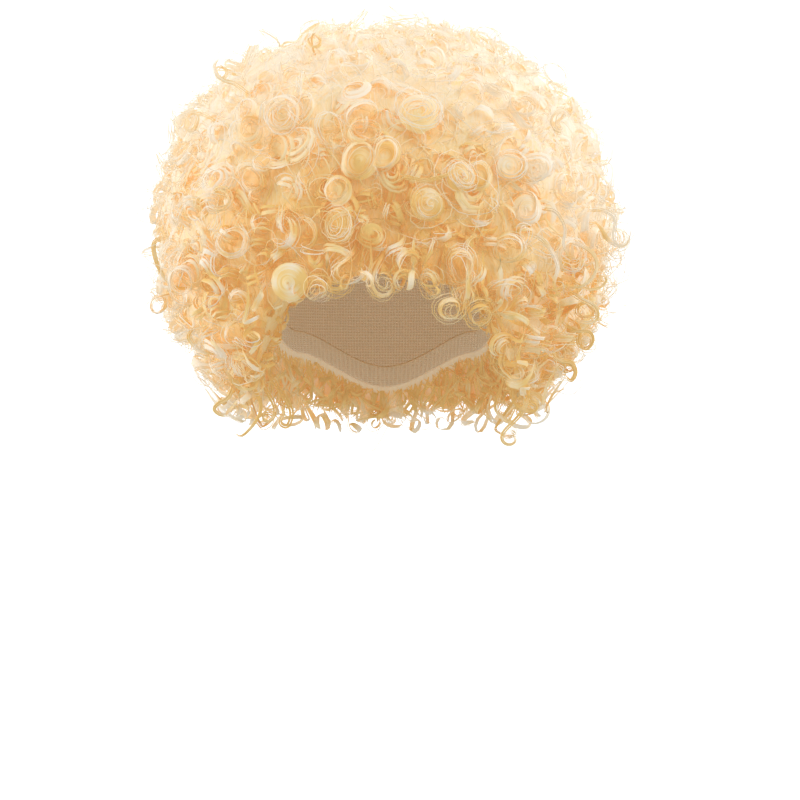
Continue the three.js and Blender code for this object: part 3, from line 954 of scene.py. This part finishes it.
def grow_clear(kind, marks, layers, tone, steps):
    """Curls of one kind at their pixels, with their sizes."""
    azimuth, share, radius, point, facing = at_marks(marks)
    root = hair_point(azimuth, np.minimum(share, CLEAR_ROOT), CLEAR_ROOT_DEPTH)
    curls = make_curls(kind, root, point, rng, CLEAR_SINK, tone, toward=facing)
    curls.radius = radius
    curls.steps = steps
    grow_layers(azimuth, share, curls, layers)


DISCS = FRINGE_DISC + PROUD_DISCS + SUNK_DISCS
# The rings of fibres round the discs are paler than the discs, tone 0.7 against 0.3 to 0.45: a painted
# highlight on their rims.
grow_clear("ring", DISCS, (FIBRES,), tone=0.7, steps=PLAIN_STEPS)
grow_clear("disc", DISCS, (DISC_FRIZZ,), tone=0.6, steps=FINE_STEPS)
grow_clear("ring", FILLED_RINGS + OPEN_RINGS, (RIBBONS, FIBRES), tone=0.55, steps=FINE_STEPS)
grow_clear("ring", FRINGE_RINGS, (ONE_RIBBON, FRIZZ), tone=0.45, steps=PLAIN_STEPS)
grow_clear("ring", OUTLINE_LOOPS, (LOOP_FIBRES,), tone=0.0, steps=PLAIN_STEPS)
print_growth("the curls that stand out")

# %% [markdown]
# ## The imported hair
# Under the curls the hair is packed so densely that no single fibre shows. A grid is extruded into a slab,
# and the slab is bent between the cap and the foot of the curls. A sculpted or displaced shell would do as
# well, but a bent slab is closed and its edges meet the next panel's exactly. The cap and its band are bent
# slabs too, so they share the helper.

# %% A slab bent to any shape
SHARP_FROM = np.radians(50.0)
AT_THE_SIDE = 0.4999


def bent_slab(name, columns, rows, goes_round, place_at):
    """A closed slab. place_at turns shares across, along and through it into points and fibre places."""
    bm = bmesh.new()
    bmesh.ops.create_grid(bm, x_segments=columns, y_segments=rows, size=0.5)
    lifted = bmesh.ops.extrude_face_region(bm, geom=bm.faces[:])["geom"]
    top = [v for v in lifted if isinstance(v, bmesh.types.BMVert)]
    bmesh.ops.translate(bm, verts=top, vec=(0.0, 0.0, 1.0))
    if goes_round:
        walls = [f for f in bm.faces if abs(sum(v.co.x for v in f.verts)) > AT_THE_SIDE * len(f.verts)]
        bmesh.ops.delete(bm, geom=walls, context="FACES")
    shares = np.array([v.co for v in bm.verts]) + (0.5, 0.5, 0.0)
    points, fibres = place_at(*shares.T)
    layer = bm.verts.layers.float_vector.new("fibre")
    for vertex, point, fibre in zip(bm.verts, points, fibres):
        vertex.co = Vector(point * MM)
        vertex[layer] = Vector(fibre)
    bmesh.ops.remove_doubles(bm, verts=bm.verts[:], dist=1e-6)
    bmesh.ops.recalc_face_normals(bm, faces=bm.faces[:])
    for face in bm.faces:
        face.smooth = True
    for edge in bm.edges:
        edge.smooth = bool(edge.calc_face_angle(0.0) < SHARP_FROM)
    mesh = bpy.data.meshes.new(name)
    bm.to_mesh(mesh)
    bm.free()
    return mesh


# %% [markdown]
# The foot of the curls is lumpy like the outline, and deeper where the tones are lively, so that the gaps
# between the curls look deep there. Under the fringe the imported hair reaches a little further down.

# %% Packed hair of one panel
LUMP_HEIGHT = 2.0
LUMP_SCALE = 0.055
ON_THE_CAP = 0.01
# Millimetres under the outline, at the least and at the most, and how much deeper where it is lively.
FOOT = (8.0, 14.0)
LIVELY_DEEPER = (3.0, 4.0)
FULL_FRINGE_SIDE = 46.0
FULL_FRINGE_EASE = 18.0
FRINGE_FULLER = 0.045
FULLER_OVER = 0.3
PACKED_COLUMNS = 40
PACKED_ROWS = 24


def fuller_fringe(azimuth, share):
    """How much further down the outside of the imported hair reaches, as a share of the way."""
    middle = smooth_step((FULL_FRINGE_SIDE - angle_from_front(azimuth)) / FULL_FRINGE_EASE)
    return FRINGE_FULLER * middle * smooth_step((share - (1.0 - FULLER_OVER)) / FULLER_OVER)


def packed_hair(name, panel):
    """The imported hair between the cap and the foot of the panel's curls."""
    start, end = panel["azimuth"]
    low, high = panel["polar"]

    def place_at(across, along, through):
        outside = through > 0.5
        azimuth = start + across * (end - start)
        hair_end = edge_angle(HAIR_END, azimuth)
        polar = low + along * ((hair_end if high is None else high) - low)
        share = np.clip(polar / hair_end, 0.0, 1.0)
        share = share * (1.0 + fuller_fringe(azimuth, share) * through)
        lively = liveliness(hair_point(azimuth, share, 1.0))
        low_foot, high_foot = [under + deeper * lively for under, deeper in zip(FOOT, LIVELY_DEEPER)]
        foot = lumpy(azimuth, share, low_foot, high_foot)
        points = hair_point(azimuth, share, np.where(outside, foot, ON_THE_CAP))
        outward = unit(hair_point(azimuth, share, 1.0) - hair_point(azimuth, share, 0.0))
        lumps = np.array([noise.fractal(Vector(point * LUMP_SCALE), 1.0, 2.0, 3) for point in points])
        points = points + outward * (np.where(outside, lumps, 0.0) * LUMP_HEIGHT)[:, None]
        return points, np.zeros_like(points)

    return bent_slab(name + "_packed", PACKED_COLUMNS, PACKED_ROWS, end - start == 360.0, place_at)


# %% [markdown]
# ## Finishes
# The fibre is a glossy synthetic. Its tones carry painted light where light falls on it, and painted shade, a
# deeper gold, between the curls. A hair shader needs hair strands, so the usual shader is used with a little
# sheen, and a faint glow stands for the light that passes through the fibre. Every ribbon carries its own
# tone, and a coordinate that runs across and along it, which the noise of single fibres follows. The imported
# hair has no ribbons, so noise that is stretched downwards draws its fibres, and its tone is painted paler
# away from the middle of the front, as painted light.

# %% Node helpers
def new_material(name, roughness):
    material = bpy.data.materials.new(name)
    material.use_nodes = True
    shader = material.node_tree.nodes["Principled BSDF"]
    shader.inputs["Roughness"].default_value = roughness
    return material, shader


def add(material, kind, inputs=(), **settings):
    """A node with its settings, and inputs by name: a value, or the socket that feeds it."""
    node = material.node_tree.nodes.new(kind)
    for key, value in settings.items():
        setattr(node, key, value)
    for key, value in dict(inputs).items():
        if isinstance(value, bpy.types.NodeSocket):
            material.node_tree.links.new(value, node.inputs[key])
        else:
            node.inputs[key].default_value = value
    return node


def ramp(material, fac, stops):
    node = add(material, "ShaderNodeValToRGB", {"Fac": fac})
    while len(node.color_ramp.elements) < len(stops):
        node.color_ramp.elements.new(0.5)
    for element, (position, colour) in zip(node.color_ramp.elements, stops):
        element.position = position
        element.color = (*colour, 1.0)
    return node.outputs["Color"]


def finish_with(material, shader, colour, height, strength, distance):
    """Feeds a colour and a bump into the shader."""
    bump = add(material, "ShaderNodeBump", {"Height": height, "Strength": strength, "Distance": distance})
    material.node_tree.links.new(colour, shader.inputs["Base Color"])
    material.node_tree.links.new(bump.outputs["Normal"], shader.inputs["Normal"])
    print("finish", material.name)
    return material


# %% The finish of the curls
DEEP_GOLD = (0.88, 0.565, 0.18)
GOLD = (0.93, 0.695, 0.355)
HONEY = (0.96, 0.77, 0.51)
CREAM = (0.98, 0.84, 0.69)
PALE_CREAM = (0.98, 0.87, 0.74)
HAIR_RAMP = [(0.05, DEEP_GOLD), (0.34, GOLD), (0.57, HONEY), (0.85, CREAM), (1.0, PALE_CREAM)]
SHEEN_TINT = (1.0, 0.88, 0.66, 1.0)
GLOW = (0.8, 0.82, 0.42, 1.0)
GLOW_STRENGTH = 0.1
STREAK_SCALE = (0.8, 0.03, 1.0)


def curl_finish():
    material, shader = new_material("curled_fibre", 0.46)
    shader.inputs["Specular IOR Level"].default_value = 0.3
    shader.inputs["Sheen Weight"].default_value = 0.4
    shader.inputs["Sheen Roughness"].default_value = 0.4
    shader.inputs["Sheen Tint"].default_value = SHEEN_TINT
    shader.inputs["Emission Color"].default_value = GLOW
    shader.inputs["Emission Strength"].default_value = GLOW_STRENGTH
    fibre = add(material, "ShaderNodeAttribute", attribute_name="fibre").outputs["Vector"]
    tone = add(material, "ShaderNodeAttribute", attribute_name="tone").outputs["Fac"]
    scaled = add(material, "ShaderNodeMapping", {"Vector": fibre, "Scale": STREAK_SCALE}).outputs["Vector"]
    fine = {"Vector": scaled, "Scale": 1.0, "Detail": 3.0}
    streak = add(material, "ShaderNodeTexNoise", fine).outputs["Fac"]
    shift = add(material, "ShaderNodeMath", {0: streak, 1: 0.5}, operation="SUBTRACT").outputs[0]
    lit = add(material, "ShaderNodeMath", {0: shift, 1: 1.0, 2: tone}, operation="MULTIPLY_ADD").outputs[0]
    colour = ramp(material, lit, HAIR_RAMP)
    return finish_with(material, shader, colour, streak, 0.5, 0.0004)


CURLED_FIBRE = curl_finish()

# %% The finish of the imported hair
STIR = (0.03, 0.03, 0.03)
DRAWN_DOWN = (1.0, 1.0, 0.15)
PACKED_PAINTED_LIGHT = (-0.25, 0.5)


def eased_node(material, value, start, end, low, high):
    """A value that runs from low to high, eased, while the given one runs from start to end."""
    span = {"Value": value, "From Min": start, "From Max": end, "To Min": low, "To Max": high}
    return add(material, "ShaderNodeMapRange", span, interpolation_type="SMOOTHSTEP").outputs["Result"]


def packed_finish():
    material, shader = new_material("packed_fibre", 0.5)
    shader.inputs["Emission Color"].default_value = GLOW
    shader.inputs["Emission Strength"].default_value = GLOW_STRENGTH
    shader.inputs["Specular IOR Level"].default_value = 0.2
    place = add(material, "ShaderNodeTexCoord").outputs["Object"]
    coarse = {"Vector": place, "Scale": 35.0, "Detail": 2.0}
    stir = add(material, "ShaderNodeTexNoise", coarse).outputs["Color"]
    bent = add(material, "ShaderNodeVectorMath", {0: stir, 1: STIR, 2: place}, operation="MULTIPLY_ADD")
    drawn = add(material, "ShaderNodeMapping", {"Vector": bent.outputs["Vector"], "Scale": DRAWN_DOWN})
    fine = {"Vector": drawn.outputs["Vector"], "Scale": 600.0, "Detail": 2.0}
    lines = add(material, "ShaderNodeTexNoise", fine).outputs["Fac"]
    # Painted light: the packed hair is painted paler away from the middle of the front, as the curls are, and
    # the back takes most of it off again.
    far = add(material, "ShaderNodeVectorMath", {0: place, 1: FRONT_MIDDLE * MM}, operation="DISTANCE")
    away = far.outputs["Value"]
    pale = eased_node(material, away, PAINTED_LIGHT_FROM * MM, PAINTED_LIGHT_TO * MM, *PACKED_PAINTED_LIGHT)
    behind = eased_node(material, away, BACK_FROM * MM, BACK_TO * MM, 0.0, -BACK_DEEPER)
    pale = add(material, "ShaderNodeMath", {0: pale, 1: behind}, operation="ADD").outputs[0]
    lit = add(material, "ShaderNodeMath", {0: lines, 1: 0.8, 2: pale}, operation="MULTIPLY_ADD").outputs[0]
    colour = ramp(material, lit, HAIR_RAMP)
    return finish_with(material, shader, colour, lines, 0.6, 0.001)


PACKED_FIBRE = packed_finish()

# %% [markdown]
# ## The fibres as a mesh
# A panel has thousands of fibres, and a bmesh call for each would take minutes. So the corner points and
# the faces go into one mesh as whole arrays. The flat side of a ribbon and its two ends keep their own
# shading, because a round shade over a sharp edge makes dark specks.

# %% Faces and sharp edges
def tube_faces(lines, rings):
    """Corner numbers of the side faces and of the end faces of many tubes."""
    ring = 3 * np.arange(rings - 1)[:, None]
    corner = np.arange(3)[None, :]
    after = (corner + 1) % 3
    walls = np.stack([ring + corner, ring + 3 + corner, ring + 3 + after, ring + after], axis=-1)
    last = 3 * (rings - 1)
    ends = np.array([[0, 1, 2], [last + 2, last + 1, last]])
    first = (3 * rings * np.arange(lines))[:, None, None]
    return [(walls.reshape(1, -1, 4) + first).reshape(-1, 4), (ends[None] + first).reshape(-1, 3)]


def mesh_of(name, points, faces):
    """A smooth mesh from points in millimetres and arrays of faces."""
    mesh = bpy.data.meshes.new(name)
    mesh.vertices.add(len(points))
    mesh.vertices.foreach_set("co", (points * MM).astype(np.float32).ravel())
    corners = np.concatenate([some.ravel() for some in faces])
    mesh.loops.add(len(corners))
    mesh.loops.foreach_set("vertex_index", corners.astype(np.int32))
    sizes = np.concatenate([np.full(len(some), some.shape[1]) for some in faces])
    mesh.polygons.add(len(sizes))
    mesh.polygons.foreach_set("loop_start", (np.cumsum(sizes) - sizes).astype(np.int32))
    mesh.update(calc_edges=True)
    mesh.shade_smooth()
    return mesh


def mark_sharp(mesh, at_end):
    """Marks the edges along the flat side of each tube, and those round its ends."""
    ends = np.empty(2 * len(mesh.edges), dtype=np.int32)
    mesh.edges.foreach_get("vertices", ends)
    first, second = (ends % 3).reshape(-1, 2).T
    round_end = at_end[ends].reshape(-1, 2).all(axis=1)
    sharp = mesh.attributes.new("sharp_edge", "BOOLEAN", "EDGE")
    sharp.data.foreach_set("value", round_end | ((first == second) & (first > 0)))


# %% All the tubes of a panel
FIBRE_LENGTH = 80.0
FIBRE_NUMBERS = 500.0


def fibre_places(batch, draw):
    """Where each corner lies on its fibre: across it, along it, and a number that only its fibre has."""
    lines, rings = batch.tubes.shape[:2]
    fibre = np.zeros((lines, rings, 3, 3))
    fibre[..., 0] = batch.widths[:, None, None] * np.cos(CORNERS)
    fibre[..., 1] = np.linspace(0.0, FIBRE_LENGTH, rings)[None, :, None]
    fibre[..., 2] = draw.uniform(0.0, FIBRE_NUMBERS, lines)[:, None, None]
    return fibre.reshape(-1, 3)


def tube_mesh(name, batches):
    """One mesh of all the batches of tubes, with the attributes that the finish reads."""
    points, tones, fibres, faces, at_end = [], [], [], [], []
    count = 0
    draw = np.random.default_rng(5)
    for batch in batches:
        lines, rings = batch.tubes.shape[:2]
        faces += [some + count for some in tube_faces(lines, rings)]
        points.append(batch.tubes.reshape(-1, 3))
        tones.append(np.repeat(batch.tone, 3, axis=1).reshape(-1))
        fibres.append(fibre_places(batch, draw))
        at_end.append(np.tile(np.repeat(np.isin(np.arange(rings), (0, rings - 1)), 3), lines))
        count += lines * rings * 3
    mesh = mesh_of(name, np.concatenate(points), faces)
    mark_sharp(mesh, np.concatenate(at_end))
    tone = mesh.attributes.new("tone", "FLOAT", "POINT")
    tone.data.foreach_set("value", np.concatenate(tones).astype(np.float32))
    fibre = mesh.attributes.new("fibre", "FLOAT_VECTOR", "POINT")
    fibre.data.foreach_set("vector", np.concatenate(fibres).astype(np.float32).ravel())
    return mesh


# %% [markdown]
# ## Dress the panels
# Each panel becomes one object: its curls, joined with its packed hair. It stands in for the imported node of
# the same name.

# %% Dress each panel
def new_piece(name, mesh, *materials):
    piece = bpy.data.objects.new(name, mesh)
    bpy.context.scene.collection.objects.link(piece)
    for material in materials:
        mesh.materials.append(material)
    return piece


def joined(piece, other):
    """The piece with the other one's mesh taken in."""
    both = [piece, other]
    with bpy.context.temp_override(active_object=piece, object=piece, selected_editable_objects=both):
        bpy.ops.object.join()
    return piece


def seat(piece, node):
    """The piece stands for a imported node."""
    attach(piece, "root")
    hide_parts(node)
    print(piece.name, sum(len(p.vertices) - 2 for p in piece.data.polygons), "triangles")


def dress_panel(node, panel):
    """A piece with the panel's packed hair, ribbons and fibres."""
    chosen = []
    for batch in growth:
        mine = in_panel(panel, batch.azimuth, batch.share)
        chosen.append(SimpleNamespace(**{key: value[mine] for key, value in vars(batch).items()}))
    curls = new_piece(node + "_ringlets", tube_mesh(node + "_ringlets", chosen), CURLED_FIBRE)
    packed = new_piece(node + "_packed", packed_hair(node, panel), PACKED_FIBRE)
    seat(joined(curls, packed), node)


for node, panel in PANELS.items():
    dress_panel(node, panel)

# %% [markdown]
# ## The cap and its band
# The cap is a thin dome of stretch net, and the band closes its rim. Both could be cut from a sphere, but the
# rim rises in front and falls at the nape, which a bent slab follows by itself. Their finishes read the place
# on the cloth, in millimetres round the cap and down from the crown.

# %% The shape of the cap and of the band
BAND_HEIGHT = 14.0
BAND_GRIP = -0.5
BAND_PINCH = 0.3
SEAM_GAP = 0.4
CAP_ROUND = 2.0 * np.pi * CAP["half_width"]


def band_start(azimuth):
    """The share of the way to the rim where the band takes over from the cap."""
    return 1.0 - BAND_HEIGHT / (CAP["half_height"] * np.radians(edge_angle(CAP_RIM, azimuth)))


def on_cloth(azimuth, share, offset):
    """Points at an offset from the inside of the cap, and their places on the cloth."""
    down = CAP["half_height"] * np.radians(share * edge_angle(CAP_RIM, azimuth))
    cloth = np.stack([azimuth / 360.0 * CAP_ROUND, down, np.zeros_like(down)], axis=1)
    return cap_point(azimuth, share, offset), cloth


def cap_place(across, along, through):
    azimuth = 360.0 * across
    share = along * (band_start(azimuth) - SEAM_GAP / CAP["half_height"])
    return on_cloth(azimuth, share, CAP_WALL * through)


def band_place(across, along, through):
    """The band is thinner at its two edges, and grips a little inside the cap."""
    azimuth = 360.0 * across
    share = band_start(azimuth) + along * (1.0 - band_start(azimuth))
    pinch = BAND_PINCH * np.abs(2.0 * along - 1.0) ** 6
    middle = (BAND_GRIP + CAP_WALL) / 2.0
    return on_cloth(azimuth, share, middle + (through - 0.5) * (CAP_WALL - BAND_GRIP) * (1.0 - pinch))


print("the band starts", np.round(band_start(0.0), 2), "of the way to the rim in front")

# %% Net and elastic
NET_CREAM = (0.95, 0.82, 0.62)
NET_SHADE = (0.87, 0.70, 0.48)
ELASTIC_CREAM = (0.97, 0.88, 0.70)


def cloth_finish(name, scale, dark, pale, depth):
    """A woven cloth: two sets of threads that cross, scale radians of a wave to the millimetre each way."""
    material, shader = new_material(name, 0.75)
    cloth = add(material, "ShaderNodeAttribute", attribute_name="fibre").outputs["Vector"]
    threads = add(material, "ShaderNodeVectorMath", {0: cloth, 1: (*scale, 0.0)}, operation="MULTIPLY")
    waved = add(material, "ShaderNodeVectorMath", {0: threads.outputs["Vector"]}, operation="SINE")
    split = add(material, "ShaderNodeSeparateXYZ", {"Vector": waved.outputs["Vector"]}).outputs
    weave = add(material, "ShaderNodeMath", {0: split["X"], 1: split["Y"]}, operation="MAXIMUM").outputs[0]
    colour = ramp(material, weave, [(0.2, dark), (0.8, pale)])
    return finish_with(material, shader, colour, weave, 0.5, depth)


CAP_NET = cloth_finish("cap_net", (3.2, 3.2), NET_SHADE, NET_CREAM, 0.0006)
BAND_ELASTIC = cloth_finish("band_elastic", (2.0, 4.5), NET_CREAM, ELASTIC_CREAM, 0.0005)
net = bent_slab("net_cap", columns=96, rows=28, goes_round=True, place_at=cap_place)
seat(new_piece("net_cap", net, CAP_NET), "cap")
elastic = bent_slab("elastic_band", columns=96, rows=6, goes_round=True, place_at=band_place)
seat(new_piece("elastic_band", elastic, BAND_ELASTIC), "rim_band")

# %% [markdown]
# ## The studio
# A pale floor that curves up into a wall has no line where they meet. Wide soft lights all round leave only
# faint shadows, and the main one stands high on the right.

# %% Camera
SENSOR = 36.0
camera = bpy.data.objects.new("camera", bpy.data.cameras.new("camera"))
camera.data.sensor_width = SENSOR
camera.data.lens = SENSOR * CAMERA_DISTANCE / (PHOTO_SIDE * MM_PER_PIXEL * MM)
camera.location = (PHOTO_MIDDLE[0], -CAMERA_DISTANCE, PHOTO_MIDDLE[1])
camera.rotation_euler = (np.pi / 2, 0.0, 0.0)
bpy.context.scene.collection.objects.link(camera)
bpy.context.scene.camera = camera
print("lens", round(camera.data.lens, 1), "mm")

# %% Floor
FLOOR_ROW = 775
FLOOR_FRONT = -4.0
FLOOR_BACK = 1.6
FLOOR_WIDTH = 10.0
WALL_HEIGHT = 4.0
BEND_RADIUS = 0.8


def studio_floor():
    """A floor with a wall behind it, joined by a round bend."""
    bm = bmesh.new()
    bmesh.ops.create_grid(bm, x_segments=2, y_segments=40, size=0.5)
    level = pixel_place(0, FLOOR_ROW)[1]
    length = FLOOR_BACK - FLOOR_FRONT
    bend = np.pi / 2 * BEND_RADIUS
    for vertex in bm.verts:
        run = (vertex.co.y + 0.5) * (length + bend + WALL_HEIGHT)
        turn = min(max((run - length) / BEND_RADIUS, 0.0), np.pi / 2)
        past = max(run - length - bend, 0.0)
        y = FLOOR_FRONT + min(run, length) + BEND_RADIUS * np.sin(turn)
        z = level + BEND_RADIUS * (1.0 - np.cos(turn)) + past
        vertex.co = (vertex.co.x * FLOOR_WIDTH, y, z)
    for face in bm.faces:
        face.smooth = True
    mesh = bpy.data.meshes.new("studio_floor")
    bm.to_mesh(mesh)
    bm.free()
    material, shader = new_material("pale_floor", 0.9)
    shader.inputs["Base Color"].default_value = (0.95, 0.95, 0.95, 1.0)
    shader.inputs["Emission Color"].default_value = (1.0, 1.0, 1.0, 1.0)
    shader.inputs["Emission Strength"].default_value = 0.6
    floor = new_piece("studio_floor", mesh, material)
    floor.visible_diffuse = False
    print("floor at", round(level, 3), "m")


studio_floor()

# %% Lights
HAIR_CENTRE = Vector((0.0, 0.0, HAIR["centre_height"] * MM))
WORLD_STRENGTH = 0.55
# Place and width in metres, and power in watts.
LIGHTS = {
    "top_light": {"place": (0.2, 0.1, 1.8), "width": 1.8, "power": 5.0},
    "main_light": {"place": (1.2, -1.6, 1.0), "width": 1.2, "power": 12.0},
    "left_light": {"place": (-1.6, -0.3, 0.2), "width": 1.4, "power": 13.0},
    "right_light": {"place": (1.6, 0.1, 0.7), "width": 1.4, "power": 7.5},
    "back_light": {"place": (0.3, 1.3, 1.2), "width": 1.0, "power": 7.0},
}
for name, setting in LIGHTS.items():
    light = bpy.data.lights.new(name, "AREA")
    light.shape = "DISK"
    light.size = setting["width"]
    light.energy = setting["power"]
    lamp = bpy.data.objects.new(name, light)
    lamp.location = setting["place"]
    lamp.rotation_euler = (HAIR_CENTRE - Vector(setting["place"])).to_track_quat("-Z", "Y").to_euler()
    bpy.context.scene.collection.objects.link(lamp)
world = bpy.data.worlds.new("studio")
world.use_nodes = True
world.node_tree.nodes["Background"].inputs["Color"].default_value = (1.0, 1.0, 1.0, 1.0)
world.node_tree.nodes["Background"].inputs["Strength"].default_value = WORLD_STRENGTH
bpy.context.scene.world = world
bpy.context.scene.view_settings.view_transform = "Standard"
bpy.context.scene.cycles.max_bounces = 24
bpy.context.scene.cycles.diffuse_bounces = 16
print(len(LIGHTS), "lights")

# %% [markdown]
# ## Sizes
# The dressed wig has to stay the size of the imported one.
